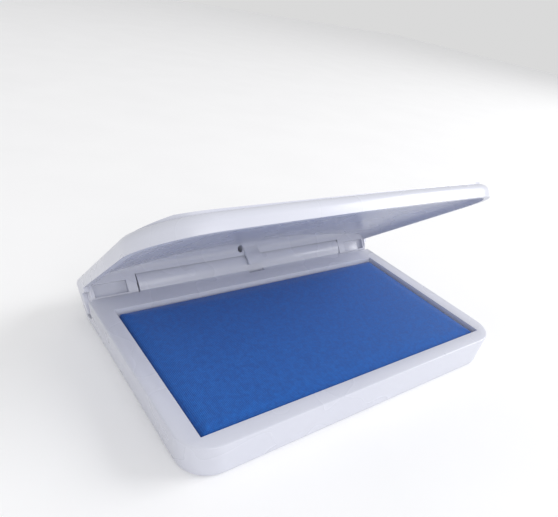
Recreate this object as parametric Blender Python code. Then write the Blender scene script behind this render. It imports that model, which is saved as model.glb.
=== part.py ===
"""Desk ink pad: a hinged flat case holding a cloth-covered, inked felt pad.

Metres, +Z up. The origin is the middle of the underside: X runs along the long side and +Y
points to the hinge. The lid is modelled shut, in a frame whose origin is the hinge axis, and
hangs from an empty on that axis, which is turned to the angle at which the case stands open.
"""
from math import cos, radians, sin, sqrt

import bmesh
import bpy
from mathutils import Matrix, Vector

# ---- driving dimensions -------------------------------------------------------------------
OPENING_X = 0.0900          # opening of the rim over the pad, along X
OPENING_Y = 0.0500          # and along Y
RIM_SIDE = 0.0046           # flat rim left and right of the opening
RIM_FRONT = 0.0042          # flat rim in front of it
REAR_DEPTH = 0.0175         # from the opening to the back of the case
BASE_HEIGHT = 0.0095
BASE_DRAFT = 0.0005         # how far the foot of the side walls stands in
FRONT_CORNER = 0.0080       # plan radii of the case
REAR_CORNER = 0.0040
BASE_WALL = 0.0015
WELL_WALL = 0.0012          # wall around the pad well
BASE_EDGE = 0.0005          # rounding of the rim's outer edge

PLATE_THICK = 0.0012        # bottom plate

PAD_SINK = 0.0004           # top of the cloth below the rim
TRAY_WALL = 0.0008
TRAY_FLOOR = 0.0010
TRAY_SINK = 0.0006          # top of the tray wall below the felt
CLOTH_THICK = 0.0005
PAD_EDGE = 0.0005           # rounding of the cloth's upper edge
CLOTH_SKIRT = 0.0032        # how far the cloth reaches down round the felt

AXIS_BEHIND = 0.0118        # hinge axis behind the opening
AXIS_SINK = 0.0008          # and below the top of the rim
BARREL_RADIUS = 0.0051
BARREL_HALF = 0.0357        # half the length of the base's barrel
PIN_RADIUS = 0.0010
PIN_IN_BARREL = 0.0045
PIN_IN_LUG = 0.0080

LID_OPEN = 35.1             # degrees from shut, as the case stands
LID_GAP = 0.0003            # shut lid above the rim
LID_WALL = 0.00145
LID_SHOULDER = 0.0036       # top of the rounded shoulder above the lid's lower edge
SHOULDER_ROUND = 0.0019
LID_CROWN = 0.0031          # rise of the crowned top above the shoulder
CROWN_END = 0.0092          # top of the crown, ahead of the axis
LID_BOW = 0.0012            # the front edge bulges this much, for a fingertip
LID_BACK = 0.0010           # and stands this much behind the front of the base
LID_CORNER = 0.0150         # plan radius of the front corners of the lid
CEILING_ROUND = 0.0032      # inside, between the rear wall and the ceiling
ROLL_WALL = 0.0012          # lid wall that rolls behind the barrel
ROLL_START = 58.0           # degrees, where it leaves the crown, 0 being straight back
ROLL_END = -40.0            # and where it ends
CHEEK_PROUD = 0.0004        # cheek beyond the barrel, radially
FACE_INSIDE = 0.0006        # lid's inner rear wall inside the front of the barrel's room
LUG_PROUD = 0.0001          # lug beyond the barrel, radially
POCKET_X = 0.0087           # moulding pockets in the lugs
POCKET_Z = 0.0033
POCKET_LOW = 0.0020         # foot of a pocket below the axis
POCKET_DEPTH = 0.0014
POCKET_SIDE = 0.0007        # lug left standing beside a pocket
HOOK_X = 0.0050             # tongue over the middle of the barrel
HOOK_MIDDLE = 0.0009        # its middle, right of the middle of the case
HOOK_THICK = 0.0008
HOOK_PROUD = 0.0006         # its root stands out of the rear wall
HOOK_ROOT = 146.0           # degrees round the barrel, where it leaves the rear wall
HOOK_TIP = 186.0            # degrees, where its tip ends when the lid is shut
HOOK_RISE = 0.0022          # how far it runs up the rear wall
WINDOW_X = 0.0017           # slot through the rear wall beside the tongue
WINDOW_Z = 0.0022

GAP = 0.0003                # clearance between neighbouring pieces
PAD_GAP = 0.0002            # and round the tray and the cloth
PIN_GAP = 0.0001            # running clearance round a pin
WEB_ANGLE = 220.0           # degrees, underside of the web that carries the barrel
ARC_STEP = 7.5              # degrees between points on a small arc
SLOT_STEP = 30.0            # and on the slot's ends
BARREL_SIDES = 48
PIN_SIDES = 24
CROWN_STEPS = 12            # straight pieces in each crown curve
BLEND_STEPS = 6             # and between the crown and the rolled wall
MERGE = 0.000001

# ---- sizes that follow ----------------------------------------------------------------------
CASE_HALF_X = OPENING_X / 2 + RIM_SIDE
CASE_LENGTH = RIM_FRONT + OPENING_Y + REAR_DEPTH
FRONT_Y = -CASE_LENGTH / 2
REAR_Y = CASE_LENGTH / 2
OPENING_FRONT = FRONT_Y + RIM_FRONT
OPENING_REAR = OPENING_FRONT + OPENING_Y
AXIS_Y = OPENING_REAR + AXIS_BEHIND
AXIS_Z = BASE_HEIGHT - AXIS_SINK
ROLL_INNER = BARREL_RADIUS + GAP
ROLL_OUTER = ROLL_INNER + ROLL_WALL
CHEEK_RADIUS = BARREL_RADIUS + CHEEK_PROUD
LUG_RADIUS = BARREL_RADIUS + LUG_PROUD
FACE_AHEAD = ROLL_INNER - FACE_INSIDE   # of the axis
TROUGH_RADIUS = ROLL_OUTER + GAP
LUG_INNER_X = BARREL_HALF + GAP
LUG_OUTER_X = CASE_HALF_X - LID_WALL
WELL_BOTTOM = PLATE_THICK + GAP
HOLLOW_REAR = AXIS_Y - TROUGH_RADIUS - BASE_WALL
LID_LOW = AXIS_SINK + LID_GAP       # lid's lower edge above the axis, when shut
FAR = 0.02                          # past every face, for cutters

PARTS = "ink_pad"
CUTTERS = "ink_pad_cutters"


def clear_scene():
    """Start from an empty file."""
    for item in list(bpy.data.objects):
        bpy.data.objects.remove(item, do_unlink=True)


def make_collection(name):
    """A collection linked to the scene."""
    group = bpy.data.collections.new(name)
    bpy.context.scene.collection.children.link(group)
    return group


def make_material(name, colour, roughness):
    """A plain Principled material."""
    material = bpy.data.materials.new(name)
    material.use_nodes = True
    shader = material.node_tree.nodes["Principled BSDF"]
    shader.inputs["Base Color"].default_value = (*colour, 1.0)
    shader.inputs["Roughness"].default_value = roughness
    return material


def add_object(name, mesh, group):
    """Put a mesh in a collection as a named object."""
    item = bpy.data.objects.new(name, mesh)
    group.objects.link(item)
    if group.name == CUTTERS:
        item.hide_render = True
        item.display_type = "WIRE"
    return item


def shade_round(mesh):
    """Smooth shading with sharp edges kept."""
    mesh.shade_smooth()
    mesh.set_sharp_from_angle(angle=radians(35))


# ---- shapes -----------------------------------------------------------------------------------
def arc(centre, radius, start, end, step=ARC_STEP):
    """Points on a circle from start to end, in degrees."""
    count = max(2, round(abs(end - start) / step))
    points = []
    for i in range(count + 1):
        angle = radians(start + (end - start) * i / count)
        points.append((centre[0] + radius * cos(angle), centre[1] + radius * sin(angle)))
    return points


def extruded(name, points, plane, low, high, group):
    """A closed prism on a flat outline. plane says what the outline's two numbers are."""
    curve = bpy.data.curves.new(name, "CURVE")
    curve.dimensions = "2D"
    curve.fill_mode = "BOTH"
    curve.extrude = (high - low) / 2
    line = curve.splines.new("POLY")
    line.points.add(len(points) - 1)
    for point, (a, b) in zip(line.points, points):
        point.co = (a, b, 0.0, 1.0)
    line.use_cyclic_u = True
    flat = bpy.data.objects.new(name + "_outline", curve)
    bpy.context.scene.collection.objects.link(flat)
    middle = (low + high) / 2
    if plane == "xy":
        turn = Matrix.Translation((0, 0, middle))
    elif plane == "yz":
        turn = Matrix(((0, 0, 1, middle), (1, 0, 0, 0), (0, 1, 0, 0), (0, 0, 0, 1)))
    else:
        turn = Matrix(((1, 0, 0, 0), (0, 0, -1, middle), (0, 1, 0, 0), (0, 0, 0, 1)))
    bpy.context.view_layer.update()
    ready = flat.evaluated_get(bpy.context.evaluated_depsgraph_get())
    mesh = bpy.data.meshes.new_from_object(ready)
    bpy.data.objects.remove(flat, do_unlink=True)
    mesh.transform(turn)
    tidy(mesh)
    return add_object(name, mesh, group)


def tidy(mesh):
    """Weld the caps on and make each flat face one face."""
    work = bmesh.new()
    work.from_mesh(mesh)
    bmesh.ops.remove_doubles(work, verts=work.verts, dist=MERGE)
    bmesh.ops.dissolve_limit(work, angle_limit=0.001, verts=work.verts, edges=work.edges)
    bmesh.ops.recalc_face_normals(work, faces=work.faces)
    work.to_mesh(mesh)
    work.free()


def box(name, low, high, group):
    """A block between two corners."""
    work = bmesh.new()
    bmesh.ops.create_cube(work, size=1.0)
    size = Vector(high) - Vector(low)
    bmesh.ops.scale(work, vec=size, verts=work.verts)
    bmesh.ops.translate(work, vec=(Vector(high) + Vector(low)) / 2, verts=work.verts)
    mesh = bpy.data.meshes.new(name)
    work.to_mesh(mesh)
    work.free()
    return add_object(name, mesh, group)


def rod(name, radius, low_x, high_x, y, z, group, sides=32):
    """A cylinder along X."""
    work = bmesh.new()
    bmesh.ops.create_cone(work, cap_ends=True, segments=sides, radius1=radius, radius2=radius,
                          depth=high_x - low_x)
    bmesh.ops.rotate(work, cent=(0, 0, 0), matrix=Matrix.Rotation(radians(90), 3, "Y"),
                     verts=work.verts)
    bmesh.ops.translate(work, vec=((low_x + high_x) / 2, y, z), verts=work.verts)
    mesh = bpy.data.meshes.new(name)
    work.to_mesh(mesh)
    work.free()
    return add_object(name, mesh, group)


def round_edges(item, height, width, segments):
    """Round the edges that lie at one height."""
    work = bmesh.new()
    work.from_mesh(item.data)
    level = [e for e in work.edges if all(abs(v.co.z - height) < MERGE for v in e.verts)]
    bmesh.ops.bevel(work, geom=level, offset=width, offset_type="OFFSET", segments=segments,
                    profile=0.5, affect="EDGES", clamp_overlap=True)
    work.to_mesh(item.data)
    work.free()


def combine(item, other, operation):
    """Boolean modifier with an exact solver."""
    change = item.modifiers.new(other.name, "BOOLEAN")
    change.operation = operation
    change.solver = "EXACT"
    change.object = other


def plan(half_x, front, rear, front_round, rear_round, bow=0.0):
    """Plan outline of the case: rounded corners and an optional bulge along the front."""
    points = arc((half_x - rear_round, rear - rear_round), rear_round, 0, 90)
    points += arc((rear_round - half_x, rear - rear_round), rear_round, 90, 180)
    points += arc((front_round - half_x, front + front_round), front_round, 180, 270)
    reach = half_x - front_round
    if bow:
        for i in range(1, CROWN_STEPS):
            x = reach * (2 * i / CROWN_STEPS - 1)
            points.append((x, front - bow * (1 - (x / reach) ** 2)))
    points += arc((reach, front + front_round), front_round, 270, 360)
    return points


# ---- base -------------------------------------------------------------------------------------
def trough(name, inner, low_x, high_x, cutters):
    """Space round the axis in the base: narrow ahead of the axis, wide below and behind."""
    points = arc((AXIS_Y, AXIS_Z), inner, 180, WEB_ANGLE)
    points += arc((AXIS_Y, AXIS_Z), TROUGH_RADIUS, WEB_ANGLE, 360)
    points += [(AXIS_Y + TROUGH_RADIUS, AXIS_Z + FAR), (AXIS_Y - inner, AXIS_Z + FAR)]
    return extruded(name, points, "yz", low_x, high_x, cutters)


def barrel_space(cutters):
    """Space below and behind the barrel, where the lid's rolled wall turns."""
    core = BARREL_RADIUS - GAP
    front = AXIS_Y + core * cos(radians(WEB_ANGLE))
    points = [(front, AXIS_Z + FAR), (front, AXIS_Z + core * sin(radians(WEB_ANGLE)))]
    points += arc((AXIS_Y, AXIS_Z), TROUGH_RADIUS, WEB_ANGLE, 360)
    points += [(AXIS_Y + TROUGH_RADIUS, AXIS_Z + FAR)]
    return extruded("barrel_space", points, "yz", -LUG_INNER_X, LUG_INNER_X, cutters)


def underside_hollow(cutters):
    """Room under the rim, round the pad well, open below."""
    inset = BASE_DRAFT + BASE_WALL
    outline = plan(CASE_HALF_X - inset, FRONT_Y + inset, HOLLOW_REAR,
                   FRONT_CORNER - inset, REAR_CORNER - inset)
    hollow = extruded("underside_hollow", outline, "xy", -FAR, BASE_HEIGHT - BASE_WALL, cutters)
    well = box("well_wall", (-OPENING_X / 2 - WELL_WALL, OPENING_FRONT - WELL_WALL, WELL_BOTTOM),
               (OPENING_X / 2 + WELL_WALL, OPENING_REAR + WELL_WALL, FAR), cutters)
    combine(hollow, well, "DIFFERENCE")
    return hollow


def make_base(parts, cutters, material):
    """Base case: rim, pad well, hinge trough and the barrel that the lid turns on."""
    outline = plan(CASE_HALF_X, FRONT_Y, REAR_Y, FRONT_CORNER, REAR_CORNER)
    base = extruded("base_case", outline, "xy", 0.0, BASE_HEIGHT, parts)
    base.data.materials.append(material)
    for point in base.data.vertices:
        if point.co.z < MERGE:
            point.co.x *= 1 - BASE_DRAFT / CASE_HALF_X
            point.co.y *= 1 - BASE_DRAFT / REAR_Y
    round_edges(base, BASE_HEIGHT, BASE_EDGE, 2)
    round_edges(base, 0.0, BASE_EDGE, 1)

    opening = box("well_opening", (-OPENING_X / 2, OPENING_FRONT, -FAR),
                  (OPENING_X / 2, OPENING_REAR, FAR), cutters)
    combine(base, underside_hollow(cutters), "DIFFERENCE")
    combine(base, opening, "DIFFERENCE")
    combine(base, barrel_space(cutters), "DIFFERENCE")
    for side, word in ((-1, "left"), (1, "right")):
        near, far = sorted((side * (LUG_INNER_X - GAP / 2), side * (LUG_OUTER_X + GAP)))
        combine(base, trough("lug_space_" + word, LUG_RADIUS + GAP, near, far, cutters),
                "DIFFERENCE")
        near, far = sorted((side * (LUG_OUTER_X - GAP), side * (CASE_HALF_X + FAR)))
        combine(base, trough("cheek_space_" + word, CHEEK_RADIUS + GAP, near, far, cutters),
                "DIFFERENCE")
    reach = ROLL_INNER + GAP / 3 + HOOK_THICK + GAP
    tip = reach * sin(radians(HOOK_TIP))
    notch = box("tongue_space", (HOOK_MIDDLE - HOOK_X / 2 - GAP, AXIS_Y - reach, AXIS_Z + tip - GAP),
                (HOOK_MIDDLE + HOOK_X / 2 + GAP, AXIS_Y - BARREL_RADIUS / 2, AXIS_Z + FAR), cutters)
    combine(base, notch, "DIFFERENCE")
    barrel = rod("barrel", BARREL_RADIUS, -BARREL_HALF, BARREL_HALF, AXIS_Y, AXIS_Z, cutters,
                 BARREL_SIDES)
    combine(base, barrel, "UNION")
    for side, word in ((-1, "left"), (1, "right")):
        near, far = sorted((side * (BARREL_HALF - PIN_IN_BARREL - GAP), side * (BARREL_HALF + GAP)))
        combine(base, rod("barrel_bore_" + word, PIN_RADIUS + PIN_GAP, near, far, AXIS_Y, AXIS_Z,
                          cutters, PIN_SIDES), "DIFFERENCE")
    shade_round(base.data)
    return base


def make_plate(parts, material):
    """Bottom plate, flush with the foot of the base."""
    inset = BASE_DRAFT + BASE_WALL + GAP
    outline = plan(CASE_HALF_X - inset, FRONT_Y + inset, HOLLOW_REAR - GAP,
                   FRONT_CORNER - inset, REAR_CORNER - inset)
    plate = extruded("bottom_plate", outline, "xy", 0.0, PLATE_THICK, parts)
    plate.data.materials.append(material)
    return plate


# ---- pad --------------------------------------------------------------------------------------
def pad_block(name, inset, low, high, group):
    """A block centred in the opening, inset from its sides."""
    return box(name, (-OPENING_X / 2 + inset, OPENING_FRONT + inset, low),
               (OPENING_X / 2 - inset, OPENING_REAR - inset, high), group)


def make_pad(parts, cutters, tray_material, felt_material, cloth_material):
    """Inked felt in its carrier tray, and the cloth stretched over both."""
    cloth_top = BASE_HEIGHT - PAD_SINK
    cloth = pad_block("pad_cloth", PAD_GAP, cloth_top - CLOTH_SKIRT, cloth_top, parts)
    cloth.data.materials.append(cloth_material)
    round_edges(cloth, cloth_top, PAD_EDGE, 3)
    under = pad_block("cloth_room", PAD_GAP + CLOTH_THICK, -FAR, cloth_top - CLOTH_THICK, cutters)
    combine(cloth, under, "DIFFERENCE")

    tray_low = PLATE_THICK + GAP
    tray_inset = PAD_GAP + CLOTH_THICK + PAD_GAP
    felt_top = cloth_top - CLOTH_THICK - GAP
    tray = pad_block("pad_tray", tray_inset, tray_low, felt_top - TRAY_SINK, parts)
    tray.data.materials.append(tray_material)
    room = pad_block("tray_room", tray_inset + TRAY_WALL, tray_low + TRAY_FLOOR, FAR, cutters)
    combine(tray, room, "DIFFERENCE")

    felt = pad_block("ink_felt", tray_inset + TRAY_WALL + PAD_GAP, tray_low + TRAY_FLOOR + GAP,
                     felt_top, parts)
    felt.data.materials.append(felt_material)


# ---- lid --------------------------------------------------------------------------------------
def crown(start, end, low, high):
    """Points of a shallow curve that rises from low at start to high at end."""
    points = []
    for i in range(CROWN_STEPS + 1):
        t = i / CROWN_STEPS
        points.append((start + (end - start) * t, low + (high - low) * (1 - (1 - t) ** 2)))
    return points


def blend(start, corner, end):
    """Points between start and end of a curve that is tangent to both lines to the corner."""
    points = []
    for i in range(1, BLEND_STEPS):
        t = i / BLEND_STEPS
        weights = ((1 - t) ** 2, 2 * t * (1 - t), t ** 2)
        points.append(tuple(sum(w * p[k] for w, p in zip(weights, (start, corner, end)))
                            for k in range(2)))
    return points


def crown_across(half_x, low, high):
    """Curve of the crown from side to side."""
    rise = crown(-half_x, 0.0, low, high)
    return rise + [(-x, z) for x, z in reversed(rise[:-1])]


def lid_mould(name, inset, cutters):
    """Plan form of the lid with its rounded shoulder and its crown, inset all round."""
    shoulder = LID_LOW + LID_SHOULDER - inset
    front = FRONT_Y - AXIS_Y + LID_BACK + inset
    outline = plan(CASE_HALF_X - inset, front, ROLL_OUTER - inset, LID_CORNER - inset,
                   REAR_CORNER - inset, LID_BOW)
    mould = extruded(name, outline, "xy", -FAR, shoulder, cutters)
    round_edges(mould, shoulder, SHOULDER_ROUND, 4)
    reach = CASE_HALF_X - inset - SHOULDER_ROUND
    across = crown_across(reach, shoulder, shoulder + LID_CROWN)
    across += [(reach, 0.0), (-reach, 0.0)]
    cap = extruded(name + "_cap", across, "xz", front + SHOULDER_ROUND,
                   ROLL_OUTER - inset - GAP, cutters)
    corners = plan(reach, front + SHOULDER_ROUND, ROLL_OUTER, LID_CORNER - SHOULDER_ROUND,
                   REAR_CORNER - SHOULDER_ROUND)
    combine(cap, extruded(name + "_cap_plan", corners, "xy", -FAR, FAR, cutters), "INTERSECT")
    combine(mould, cap, "UNION")
    return mould


def lid_side():
    """Side profile of the lid: crown, then the wall that rolls down behind the axis."""
    front = FRONT_Y - AXIS_Y - LID_BOW - GAP
    top = LID_LOW + LID_SHOULDER + LID_CROWN
    points = crown(front, -CROWN_END, LID_LOW + LID_SHOULDER, top)
    roll = arc((0, 0), ROLL_OUTER, ROLL_START, ROLL_END)
    turn = radians(ROLL_START)
    corner = (roll[0][0] - (top - roll[0][1]) * sin(turn) / cos(turn), top)
    points += blend(points[-1], corner, roll[0])
    points += roll
    points += [(0.0, 0.0), (-FACE_AHEAD, 0.0), (-FACE_AHEAD, LID_LOW), (front, LID_LOW)]
    return points


def lid_cavity(cutters):
    """Inside of the lid, ahead of its rear wall."""
    room = lid_mould("lid_room", LID_WALL, cutters)
    front = FRONT_Y - AXIS_Y - LID_BOW
    ceiling = LID_LOW + LID_SHOULDER + LID_CROWN - LID_WALL
    points = crown(front, -FACE_AHEAD - CEILING_ROUND, LID_LOW + LID_SHOULDER - LID_WALL, ceiling)
    points += arc((-FACE_AHEAD - CEILING_ROUND, ceiling - CEILING_ROUND), CEILING_ROUND, 90, 0)
    points += [(-FACE_AHEAD, -FAR), (front, -FAR)]
    side = extruded("lid_room_side", points, "yz", -CASE_HALF_X, CASE_HALF_X, cutters)
    combine(room, side, "INTERSECT")
    return room


def make_hook(lid, cutters):
    """Tongue over the middle of the barrel, with the slot beside it."""
    low_x = HOOK_MIDDLE - HOOK_X / 2
    high_x = HOOK_MIDDLE + HOOK_X / 2
    inner = ROLL_INNER + GAP / 3
    band = arc((0, 0), inner, HOOK_ROOT, HOOK_TIP)
    band += arc((0, 0), inner + HOOK_THICK, HOOK_TIP, HOOK_ROOT)
    foot = sqrt(inner ** 2 - (FACE_AHEAD - GAP) ** 2)
    combine(lid, extruded("hook_band", band, "yz", low_x, high_x, cutters), "UNION")
    root = box("hook_root", (low_x, -FACE_AHEAD - HOOK_PROUD, foot),
               (high_x, -FACE_AHEAD + GAP, foot + HOOK_RISE), cutters)
    combine(lid, root, "UNION")
    middle = low_x - GAP - WINDOW_X / 2
    half = WINDOW_Z / 2 - WINDOW_X / 2
    height = foot + WINDOW_Z / 2 + GAP
    slot = arc((middle, height + half), WINDOW_X / 2, 0, 180, SLOT_STEP)
    slot += arc((middle, height - half), WINDOW_X / 2, 180, 360, SLOT_STEP)
    slot_front = -FACE_AHEAD - 2 * HOOK_PROUD
    combine(lid, extruded("hook_slot", slot, "xz", slot_front, 0.0, cutters), "DIFFERENCE")


def make_lid(parts, cutters, material, axis):
    """Lid: crowned shell, cheeks, lugs round the pins and the rolled rear wall."""
    lid = extruded("lid_shell", lid_side(), "yz", -CASE_HALF_X, CASE_HALF_X, parts)
    lid.data.materials.append(material)
    others = set(cutters.objects)
    sides = ((-1, "left"), (1, "right"))
    for side, word in sides:
        near, far = sorted((side * LUG_OUTER_X, side * CASE_HALF_X))
        cheek = arc((0, 0), CHEEK_RADIUS, -90, 0)
        cheek += [(-GAP, CHEEK_RADIUS / 2), (-GAP, -CHEEK_RADIUS)]
        combine(lid, extruded("cheek_" + word, cheek, "yz", near, far, cutters), "UNION")
        near, far = sorted((side * (LUG_INNER_X + GAP / 2), side * (LUG_OUTER_X + GAP)))
        combine(lid, rod("lug_" + word, LUG_RADIUS, near, far, 0, 0, cutters), "UNION")
    combine(lid, lid_mould("lid_plan", 0.0, cutters), "INTERSECT")
    combine(lid, lid_cavity(cutters), "DIFFERENCE")
    room = rod("barrel_room", ROLL_INNER, -LUG_INNER_X, LUG_INNER_X, 0, 0, cutters, BARREL_SIDES)
    combine(lid, room, "DIFFERENCE")
    make_hook(lid, cutters)
    for side, word in sides:
        near, far = sorted((side * (LUG_OUTER_X - POCKET_SIDE - POCKET_X),
                            side * (LUG_OUTER_X - POCKET_SIDE)))
        pocket = box("pocket_" + word, (near, -FACE_AHEAD - FAR, -POCKET_LOW),
                     (far, -FACE_AHEAD + POCKET_DEPTH, POCKET_Z - POCKET_LOW), cutters)
        combine(lid, pocket, "DIFFERENCE")
        near, far = sorted((side * (LUG_INNER_X - GAP), side * (BARREL_HALF + PIN_IN_LUG + GAP)))
        bore = rod("lug_bore_" + word, PIN_RADIUS + PIN_GAP, near, far, 0, 0, cutters, PIN_SIDES)
        combine(lid, bore, "DIFFERENCE")
    for item in [lid] + [c for c in cutters.objects if c not in others]:
        item.parent = axis
    shade_round(lid.data)
    return lid


def make_pins(parts, material):
    """Steel pins from the ends of the barrel into the lugs."""
    for side, word in ((-1, "left"), (1, "right")):
        near, far = sorted((side * (BARREL_HALF - PIN_IN_BARREL), side * (BARREL_HALF + PIN_IN_LUG)))
        pin = rod("hinge_pin_" + word, PIN_RADIUS, near, far, AXIS_Y, AXIS_Z, parts, PIN_SIDES)
        pin.data.materials.append(material)
        shade_round(pin.data)


def main():
    """Model the whole ink pad."""
    clear_scene()
    parts = make_collection(PARTS)
    cutters = make_collection(CUTTERS)
    shell = make_material("pale_grey_plastic", (0.66, 0.66, 0.74), 0.35)
    inner = make_material("tray_plastic", (0.60, 0.62, 0.70), 0.45)
    felt = make_material("inked_felt", (0.01, 0.04, 0.20), 0.90)
    cloth = make_material("inked_cloth", (0.02, 0.11, 0.38), 0.80)
    steel = make_material("pin_steel", (0.60, 0.60, 0.62), 0.30)

    axis = bpy.data.objects.new("hinge_axis", None)
    parts.objects.link(axis)
    axis.location = (0.0, AXIS_Y, AXIS_Z)
    axis.rotation_euler = (-radians(LID_OPEN), 0.0, 0.0)

    make_base(parts, cutters, shell)
    make_plate(parts, shell)
    make_pad(parts, cutters, inner, felt, cloth)
    make_pins(parts, steel)
    make_lid(parts, cutters, shell, axis)
    bpy.context.view_layer.update()


main()
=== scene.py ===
from math import radians

import bpy
from mathutils import Matrix, Vector


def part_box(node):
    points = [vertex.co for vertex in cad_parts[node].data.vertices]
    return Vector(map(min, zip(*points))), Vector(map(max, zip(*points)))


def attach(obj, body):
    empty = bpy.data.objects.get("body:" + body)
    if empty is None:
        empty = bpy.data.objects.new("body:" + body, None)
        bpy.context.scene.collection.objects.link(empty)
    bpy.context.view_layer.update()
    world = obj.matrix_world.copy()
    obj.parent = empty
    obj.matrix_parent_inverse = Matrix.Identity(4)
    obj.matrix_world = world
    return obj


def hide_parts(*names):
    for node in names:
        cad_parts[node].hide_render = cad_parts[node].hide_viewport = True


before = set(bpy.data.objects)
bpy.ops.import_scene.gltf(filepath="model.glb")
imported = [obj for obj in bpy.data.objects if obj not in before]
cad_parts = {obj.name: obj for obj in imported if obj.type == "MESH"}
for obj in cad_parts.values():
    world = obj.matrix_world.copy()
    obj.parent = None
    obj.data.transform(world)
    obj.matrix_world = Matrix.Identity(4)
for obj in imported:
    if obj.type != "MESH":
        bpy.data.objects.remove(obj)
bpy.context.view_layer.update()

mm = 0.001


# sRGB hex to the linear colour that a shader wants
def hexColour(code):
    channels = [int(code[i:i + 2], 16) / 255 for i in (1, 3, 5)]
    return tuple(c / 12.92 if c <= 0.04045 else ((c + 0.055) / 1.055) ** 2.4
                 for c in channels) + (1.0,)


# one node with its settings, socket values and links
def addNode(tree, kind, settings={}, values={}, links={}):
    made = tree.nodes.new(kind)
    for name, value in settings.items():
        setattr(made, name, value)
    for name, value in values.items():
        made.inputs[name].default_value = value
    for name, source in links.items():
        tree.links.new(source, made.inputs[name])
    return made


# a colour or grey ramp needs its stops set one by one
def setStops(ramp, stops):
    points = ramp.color_ramp.elements
    while len(points) < len(stops):
        points.new(0.5)
    for point, (place, colour) in zip(points, stops):
        point.position = place
        point.color = colour


def startMaterial(name):
    material = bpy.data.materials.new(name)
    material.use_nodes = True
    tree = material.node_tree
    shader = tree.nodes["Principled BSDF"]
    place = addNode(tree, "ShaderNodeTexCoord").outputs["Object"]
    return material, tree, shader, place


def setMaterial(item, material):
    item.data.materials.clear()
    item.data.materials.append(material)


def onlySelect(item):
    bpy.ops.object.select_all(action="DESELECT")
    item.select_set(True)
    bpy.context.view_layer.objects.active = item


print("materials")

casePlastic = {
    "colour": "#CFD1DC", "deep": "#CCCEDA",    # pale lavender grey, and where it flowed last
    "cloud": 30 * mm,                          # size of the faint flow clouds
    "peel": 2.6 * mm, "peelDepth": 0.020 * mm,
    "roughLow": 0.24, "roughHigh": 0.32,
}


# Injection moulded high-impact polystyrene from a polished mould: smooth and softly glossy,
# with faint flow clouds and a little orange peel that breaks up the highlights.
def makeCasePlastic(s):
    material, tree, shader, place = startMaterial("mouldedPolystyrene")
    cloud = addNode(tree, "ShaderNodeTexNoise", {},
                    {"Scale": 1 / s["cloud"], "Detail": 1.0},
                    {"Vector": place})
    tint = addNode(tree, "ShaderNodeValToRGB", {}, {}, {"Fac": cloud.outputs["Fac"]})
    setStops(tint, [(0.3, hexColour(s["deep"])), (0.7, hexColour(s["colour"]))])
    tree.links.new(tint.outputs["Color"], shader.inputs["Base Color"])
    smear = addNode(tree, "ShaderNodeTexNoise", {},
                    {"Scale": 1 / (14 * mm), "Detail": 1.0},
                    {"Vector": place})
    rough = addNode(tree, "ShaderNodeMapRange", {},
                    {"From Min": 0.3, "From Max": 0.7, "To Min": s["roughLow"],
                     "To Max": s["roughHigh"]},
                    {"Value": smear.outputs["Fac"]})
    tree.links.new(rough.outputs["Result"], shader.inputs["Roughness"])
    peel = addNode(tree, "ShaderNodeTexNoise", {},
                   {"Scale": 1 / s["peel"], "Detail": 2.0},
                   {"Vector": place})
    bump = addNode(tree, "ShaderNodeBump", {},
                   {"Strength": 0.06, "Distance": s["peelDepth"]},
                   {"Height": peel.outputs["Fac"]})
    tree.links.new(bump.outputs["Normal"], shader.inputs["Normal"])
    shader.inputs["IOR"].default_value = 1.59          # polystyrene
    return material


trayPlastic = {"colour": "#B4BCD6", "stain": "#5E7DB8", "grain": 0.5 * mm}


# Injection moulded polypropylene, satin, with ink wicked over its upper edge in places.
def makeTrayPlastic(s):
    material, tree, shader, place = startMaterial("inkStainedPolypropylene")
    ink = addNode(tree, "ShaderNodeTexNoise", {},
                  {"Scale": 1 / (3 * mm), "Detail": 4.0},
                  {"Vector": place})
    tint = addNode(tree, "ShaderNodeValToRGB", {}, {}, {"Fac": ink.outputs["Fac"]})
    setStops(tint, [(0.42, hexColour(s["colour"])), (0.72, hexColour(s["stain"]))])
    tree.links.new(tint.outputs["Color"], shader.inputs["Base Color"])
    grain = addNode(tree, "ShaderNodeTexNoise", {},
                    {"Scale": 1 / s["grain"], "Detail": 2.0},
                    {"Vector": place})
    rough = addNode(tree, "ShaderNodeMapRange", {},
                    {"To Min": 0.36, "To Max": 0.5},
                    {"Value": grain.outputs["Fac"]})
    tree.links.new(rough.outputs["Result"], shader.inputs["Roughness"])
    bump = addNode(tree, "ShaderNodeBump", {},
                   {"Strength": 0.3, "Distance": 0.02 * mm},
                   {"Height": grain.outputs["Fac"]})
    tree.links.new(bump.outputs["Normal"], shader.inputs["Normal"])
    shader.inputs["IOR"].default_value = 1.49
    return material


inkCotton = {
    # the darkest stop takes pooled ink and the painted shade of the weave's hollows; the palest
    # takes dry ink and the painted highlight on the thread tops
    "dry": "#1157A9", "wetInkAndShade": "#0C4B99", "pale": "#1C65B8",
    "thread": 0.36 * mm,         # thread spacing, plain weave
    "threadDepth": 0.05 * mm,
    "bandsPerUnit": 3.18,        # a wave texture repeats about this often per unit of scale
    "patch": 1.1 * mm,           # ink pools and dries in patches about this size
}
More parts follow.
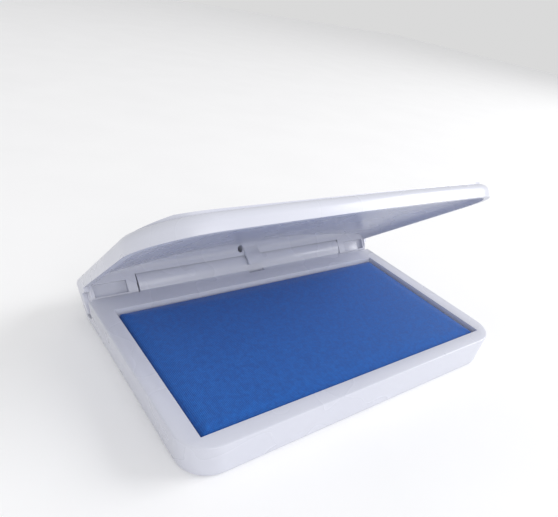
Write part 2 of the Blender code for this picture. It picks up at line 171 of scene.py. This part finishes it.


# Plain-woven cotton soaked with blue stamping ink, darker in soft ink patches; the tone also
# follows the weave, as a fine grid of painted highlight on the thread tops and painted shade in
# the hollows.
def makeInkCotton(s):
    material, tree, shader, place = startMaterial("inkedCotton")
    pitch = 1 / s["thread"] / s["bandsPerUnit"]
    warp = addNode(tree, "ShaderNodeTexWave", {"bands_direction": "X"},
                   {"Scale": pitch, "Distortion": 1.2, "Detail": 1.0, "Detail Scale": 0.6},
                   {"Vector": place})
    weft = addNode(tree, "ShaderNodeTexWave", {"bands_direction": "Y"},
                   {"Scale": pitch, "Distortion": 1.2, "Detail": 1.0, "Detail Scale": 0.6},
                   {"Vector": place})
    weave = addNode(tree, "ShaderNodeMath", {"operation": "MULTIPLY"},
                    {},
                    {0: warp.outputs["Fac"], 1: weft.outputs["Fac"]})
    fuzz = addNode(tree, "ShaderNodeTexNoise", {},
                   {"Scale": 1 / (0.25 * mm), "Detail": 3.0, "Roughness": 0.7},
                   {"Vector": place})
    height = addNode(tree, "ShaderNodeMath", {"operation": "MULTIPLY_ADD"},
                     {1: 0.55},
                     {0: fuzz.outputs["Fac"], 2: weave.outputs["Value"]})
    patch = addNode(tree, "ShaderNodeTexNoise", {},
                    {"Scale": 1 / s["patch"], "Detail": 6.0, "Roughness": 0.72},
                    {"Vector": place})
    # ink patches plus the weave height: the weave part is painted highlight on the thread tops and
    # painted shade in the hollows
    mix = addNode(tree, "ShaderNodeMath", {"operation": "MULTIPLY_ADD"},
                  {1: 0.28},
                  {0: height.outputs["Value"], 2: patch.outputs["Fac"]})
    tint = addNode(tree, "ShaderNodeValToRGB", {}, {}, {"Fac": mix.outputs["Value"]})
    # darkest stop: wet ink patches and the painted shade in the hollows; palest stop: the painted
    # highlight on the thread tops
    setStops(tint, [(0.48, hexColour(s["wetInkAndShade"])), (0.66, hexColour(s["dry"])),
                    (0.90, hexColour(s["pale"]))])
    tree.links.new(tint.outputs["Color"], shader.inputs["Base Color"])
    rough = addNode(tree, "ShaderNodeMapRange", {},
                    {"From Min": 0.3, "From Max": 0.7, "To Min": 0.62, "To Max": 0.85},
                    {"Value": patch.outputs["Fac"]})
    tree.links.new(rough.outputs["Result"], shader.inputs["Roughness"])
    bump = addNode(tree, "ShaderNodeBump", {},
                   {"Strength": 0.7, "Distance": s["threadDepth"]},
                   {"Height": height.outputs["Value"]})
    tree.links.new(bump.outputs["Normal"], shader.inputs["Normal"])
    shader.inputs["Sheen Weight"].default_value = 0.15
    shader.inputs["Sheen Roughness"].default_value = 0.5
    shader.inputs["Specular IOR Level"].default_value = 0.35
    return material


inkFelt = {"dark": "#0B1E4A", "light": "#1C3B78", "fibre": 0.4 * mm}


# Pressed wool felt full of ink: matt, nearly black-blue, matted short fibres.
def makeInkFelt(s):
    material, tree, shader, place = startMaterial("inkedFelt")
    fibre = addNode(tree, "ShaderNodeTexNoise", {},
                    {"Scale": 1 / s["fibre"], "Detail": 6.0, "Roughness": 0.75, "Distortion": 1.5},
                    {"Vector": place})
    tint = addNode(tree, "ShaderNodeValToRGB", {}, {}, {"Fac": fibre.outputs["Fac"]})
    setStops(tint, [(0.35, hexColour(s["dark"])), (0.7, hexColour(s["light"]))])
    tree.links.new(tint.outputs["Color"], shader.inputs["Base Color"])
    bump = addNode(tree, "ShaderNodeBump", {},
                   {"Strength": 0.8, "Distance": 0.1 * mm},
                   {"Height": fibre.outputs["Fac"]})
    tree.links.new(bump.outputs["Normal"], shader.inputs["Normal"])
    shader.inputs["Roughness"].default_value = 0.9
    shader.inputs["Sheen Weight"].default_value = 0.2
    return material


pinSteel = {"bright": "#B9BABD", "dull": "#9A9BA0"}


# Drawn steel wire: bright, with fine scratches along its length from the die.
def makePinSteel(s):
    material, tree, shader, place = startMaterial("drawnSteelWire")
    stretch = addNode(tree, "ShaderNodeMapping", {},
                      {"Scale": (0.05, 1.0, 1.0)},
                      {"Vector": place})
    draw = addNode(tree, "ShaderNodeTexNoise", {},
                   {"Scale": 1 / (0.08 * mm), "Detail": 3.0},
                   {"Vector": stretch.outputs["Vector"]})
    tint = addNode(tree, "ShaderNodeValToRGB", {}, {}, {"Fac": draw.outputs["Fac"]})
    setStops(tint, [(0.3, hexColour(s["dull"])), (0.7, hexColour(s["bright"]))])
    tree.links.new(tint.outputs["Color"], shader.inputs["Base Color"])
    rough = addNode(tree, "ShaderNodeMapRange", {},
                    {"To Min": 0.22, "To Max": 0.4},
                    {"Value": draw.outputs["Fac"]})
    tree.links.new(rough.outputs["Result"], shader.inputs["Roughness"])
    shader.inputs["Metallic"].default_value = 1.0
    return material


caseLook = makeCasePlastic(casePlastic)
trayLook = makeTrayPlastic(trayPlastic)
cottonLook = makeInkCotton(inkCotton)
feltLook = makeInkFelt(inkFelt)
steelLook = makePinSteel(pinSteel)

print("hidden and plain pieces")

for name, look in (("bottom_plate", caseLook), ("pad_tray", trayLook), ("ink_felt", feltLook),
                   ("hinge_pin_left", steelLook), ("hinge_pin_right", steelLook)):
    setMaterial(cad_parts[name], look)

print("mouldings")

moulding = {"edge": 0.18 * mm, "steps": 2, "sharp": 38.0}


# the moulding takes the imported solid's form, with its faces made whole and every sharp edge
# rounded as the mould's edges are
def roundedMoulding(name, node, body, s):
    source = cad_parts[node]
    item = source.copy()
    item.data = source.data.copy()
    item.name = name
    item.parent = None
    bpy.context.scene.collection.objects.link(item)
    item.matrix_world = Matrix.Identity(4)
    onlySelect(item)
    if item.data.has_custom_normals:
        bpy.ops.mesh.customdata_custom_splitnormals_clear()
    bpy.ops.object.mode_set(mode="EDIT")
    bpy.ops.mesh.select_all(action="SELECT")
    bpy.ops.mesh.remove_doubles(threshold=0.002 * mm)
    bpy.ops.mesh.dissolve_limited(angle_limit=radians(0.5))
    bpy.ops.object.mode_set(mode="OBJECT")
    edge = item.modifiers.new("edges", "BEVEL")
    edge.width = s["edge"]
    edge.segments = s["steps"]
    edge.limit_method = "ANGLE"
    edge.angle_limit = radians(s["sharp"])
    edge.harden_normals = False
    bpy.ops.object.modifier_apply(modifier=edge.name)
    bpy.ops.object.shade_smooth_by_angle(angle=radians(30))
    setMaterial(item, caseLook)
    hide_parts(node)
    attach(item, body)


roundedMoulding("case_base", "base_case", "base", moulding)
roundedMoulding("case_lid", "lid_shell", "lid", moulding)

print("pad")

pad = {
    "inset": 0.22 * mm,          # drawn in at first, because the stuffing swells it
    "edge": 0.55 * mm,           # the cloth is pulled round a soft edge
    "voxel": 0.9 * mm,
    "held": 1.1 * mm,            # this much of the foot stays where it is
    "stiffness": 40,
    "frames": 20,
    "pressure": 3.0,
    "cap": 0.30 * mm,            # no point moves further than this
    "scale": 20.0,               # the solver works better on a pad this much bigger
}


def makePad(s):
    low, high = (Vector(c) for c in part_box("pad_cloth"))
    low += Vector((s["inset"], s["inset"], 0))
    high -= Vector((s["inset"], s["inset"], s["inset"]))
    middle, size = (low + high) / 2, high - low
    bpy.ops.object.select_all(action="DESELECT")
    bpy.ops.mesh.primitive_cube_add(size=1, location=middle, scale=size)
    item = bpy.context.object
    item.name = "inked_pad"
    bpy.ops.object.transform_apply(location=True, rotation=True, scale=True)
    bpy.ops.object.mode_set(mode="EDIT")
    bpy.ops.mesh.select_all(action="DESELECT")
    bpy.ops.object.mode_set(mode="OBJECT")
    for face in item.data.polygons:
        face.select = face.normal.z > 0.5
    bpy.ops.object.mode_set(mode="EDIT")
    bpy.ops.mesh.bevel(offset=s["edge"], segments=4, affect="EDGES")
    bpy.ops.object.mode_set(mode="OBJECT")
    # bigger and about the origin for the remesh and the solver
    item.data.transform(Matrix.Scale(s["scale"], 4) @ Matrix.Translation(-middle))
    mesher = item.modifiers.new("voxels", "REMESH")
    mesher.mode = "VOXEL"
    mesher.voxel_size = s["voxel"] * s["scale"]
    bpy.ops.object.modifier_apply(modifier=mesher.name)
    stuff(item, s)
    item.data.transform(Matrix.Translation(middle) @ Matrix.Scale(1 / s["scale"], 4))
    finer = item.modifiers.new("finer", "SUBSURF")
    finer.levels = finer.render_levels = 1
    bpy.ops.object.modifier_apply(modifier=finer.name)
    bpy.ops.object.shade_smooth()
    setMaterial(item, cottonLook)
    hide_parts("pad_cloth")
    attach(item, "base")


# cloth held at its foot and swelled from inside
def stuff(item, s):
    start = [v.co.copy() for v in item.data.vertices]
    foot = min(v.z for v in start)
    group = item.vertex_groups.new(name="held")
    heldTop = foot + s["held"] * s["scale"]
    group.add([i for i, v in enumerate(start) if v.z < heldTop], 1.0, "REPLACE")
    cloth = item.modifiers.new("cloth", "CLOTH")
    cloth.settings.use_pressure = True
    cloth.settings.uniform_pressure_force = s["pressure"]
    cloth.settings.tension_stiffness = s["stiffness"]
    cloth.settings.compression_stiffness = s["stiffness"]
    cloth.settings.vertex_group_mass = "held"
    cloth.settings.effector_weights.gravity = 0
    cloth.collision_settings.use_collision = False
    cloth.collision_settings.use_self_collision = False
    scene = bpy.context.scene
    for step in range(1, s["frames"] + 1):
        scene.frame_set(step)
    onlySelect(item)
    bpy.ops.object.modifier_apply(modifier=cloth.name)
    scene.frame_set(1)
    reach = s["cap"] * s["scale"]
    for vertex, old in zip(item.data.vertices, start):
        move = vertex.co - old
        if move.length > reach:
            vertex.co = old + move.normalized() * reach
    item.vertex_groups.clear()


makePad(pad)

print("floor, light and camera")

# a pale table in soft daylight, brighter from the right, with a softer light in front
studio = {
    "floor": "#F6F6F7", "world": "#FFFFFF", "worldStrength": 0.70,
    "keyPower": 7.0, "keySize": 0.60, "keyPlace": (0.95, -0.40, 0.60),
    "fillPower": 4.0, "fillSize": 0.8, "fillPlace": (-0.20, -1.00, 0.60),
}


def makeFloor(s):
    bpy.ops.object.select_all(action="DESELECT")
    bpy.ops.mesh.primitive_plane_add(size=3.0, location=(0, 0, 0))
    floor = bpy.context.object
    floor.name = "table"
    material, tree, shader, place = startMaterial("paleTable")
    speck = addNode(tree, "ShaderNodeTexNoise", {}, {"Scale": 1 / (40 * mm)}, {"Vector": place})
    tint = addNode(tree, "ShaderNodeValToRGB", {}, {}, {"Fac": speck.outputs["Fac"]})
    setStops(tint, [(0.3, hexColour(s["floor"])), (0.7, hexColour("#F8F8F9"))])
    tree.links.new(tint.outputs["Color"], shader.inputs["Base Color"])
    shader.inputs["Roughness"].default_value = 0.8
    setMaterial(floor, material)


def makeLight(name, power, size, place, target):
    data = bpy.data.lights.new(name, "AREA")
    data.energy = power
    data.size = size
    item = bpy.data.objects.new(name, data)
    bpy.context.scene.collection.objects.link(item)
    item.location = place
    item.rotation_euler = (Vector(target) - Vector(place)).to_track_quat("-Z", "Y").to_euler()


def makeWorld(s):
    world = bpy.data.worlds.new("studio")
    bpy.context.scene.world = world
    world.use_nodes = True
    back = world.node_tree.nodes["Background"]
    back.inputs["Color"].default_value = hexColour(s["world"])
    back.inputs["Strength"].default_value = s["worldStrength"]


makeFloor(studio)
makeWorld(studio)
makeLight("key", studio["keyPower"], studio["keySize"], studio["keyPlace"], (0, 0, 0))
makeLight("fill", studio["fillPower"], studio["fillSize"], studio["fillPlace"], (0, 0, 0))

cameraView = {
    "place": (-71.73, -88.89, 79.75), "turn": (50.051, -8.763, -36.686),
    "lens": 29.627, "shift": (-0.0713, 0.2118),
}


def makeCamera(s):
    data = bpy.data.cameras.new("view")
    data.sensor_width = 36
    data.lens = s["lens"]
    data.shift_x, data.shift_y = s["shift"]
    data.clip_start = 0.005
    item = bpy.data.objects.new("view", data)
    bpy.context.scene.collection.objects.link(item)
    item.location = [v * mm for v in s["place"]]
    item.rotation_euler = [radians(a) for a in s["turn"]]
    bpy.context.scene.camera = item


makeCamera(cameraView)
bpy.context.scene.view_settings.view_transform = "Standard"    # plain tones for a pale object
bpy.context.view_layer.update()
